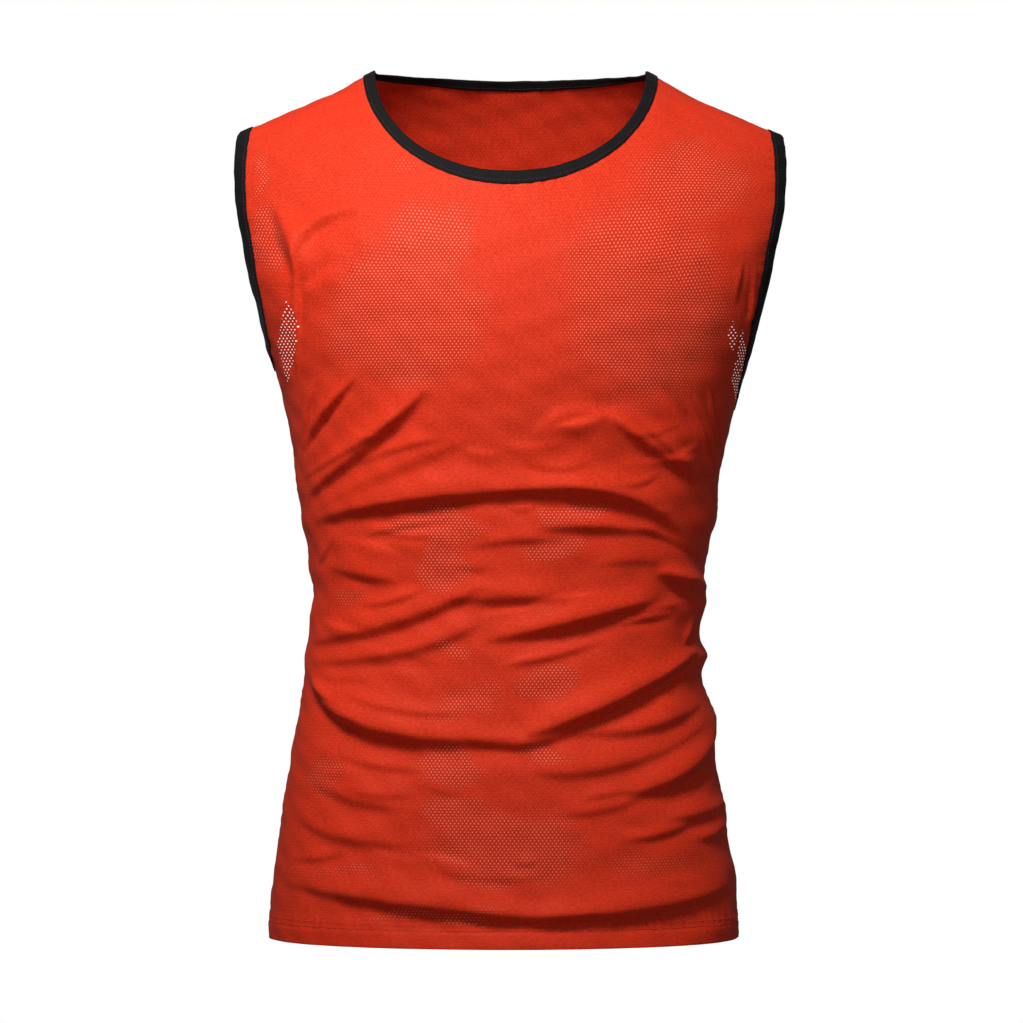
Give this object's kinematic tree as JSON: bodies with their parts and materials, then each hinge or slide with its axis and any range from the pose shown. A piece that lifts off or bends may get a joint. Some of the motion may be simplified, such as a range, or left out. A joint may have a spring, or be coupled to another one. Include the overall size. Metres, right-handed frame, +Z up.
{
  "type": "training bib",
  "caption": "Sleeveless scoop-neck top of red mesh cloth with black bound neck and armholes, hanging in soft waist folds as if worn.",
  "frame": {"origin": "midway between the two high shoulder points, where the neck edge crosses the top of the shoulders", "axes": "+Z up, -Y the way the front faces, +X on the right as seen from the front"},
  "size_m": [0.4419, 0.2349, 0.6931],
  "materials": {
    "front_mesh": "matt knitted polyester mesh",
    "back_mesh": "matt knitted polyester mesh",
    "binding_tape": "matt ribbed tape"
  },
  "bodies": {
    "root": {"front_panel": "front_mesh", "back_panel": "back_mesh", "neck_binding": "binding_tape", "armhole_binding_left": "binding_tape", "armhole_binding_right": "binding_tape"}
  },
  "joints": []
}
